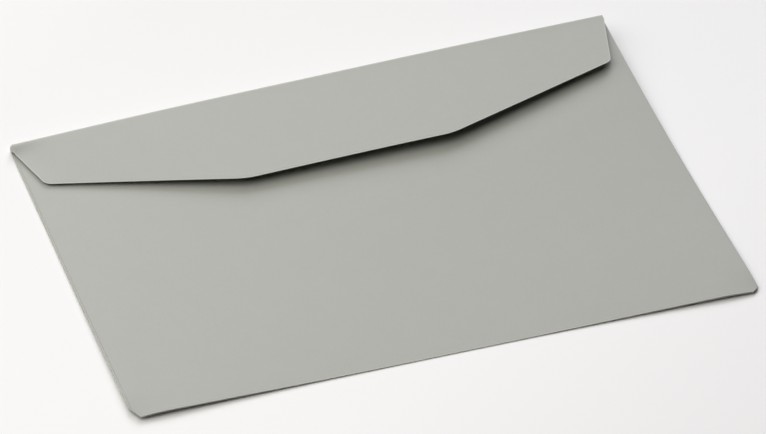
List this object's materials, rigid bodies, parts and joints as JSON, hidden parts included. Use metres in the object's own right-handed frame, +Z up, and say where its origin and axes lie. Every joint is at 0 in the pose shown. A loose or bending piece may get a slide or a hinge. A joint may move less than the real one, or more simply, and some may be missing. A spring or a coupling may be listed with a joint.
{
  "type": "paper envelope",
  "caption": "Wallet envelope folded from one sheet of plain grey paper, lying flap side up, with its wide tapered flap closed over and springing slightly off the back.",
  "frame": {"origin": "middle of the underside, on the surface that the envelope lies on", "axes": "+X along the long side, +Y from the lower fold to the fold that carries the flap, +Z up, out of the flap side"},
  "size_m": [0.229, 0.162, 0.0074],
  "materials": {
    "grey_paper": "matte uncoated paper, plain light grey"
  },
  "bodies": {
    "root": {"envelope": "grey_paper"}
  },
  "joints": []
}
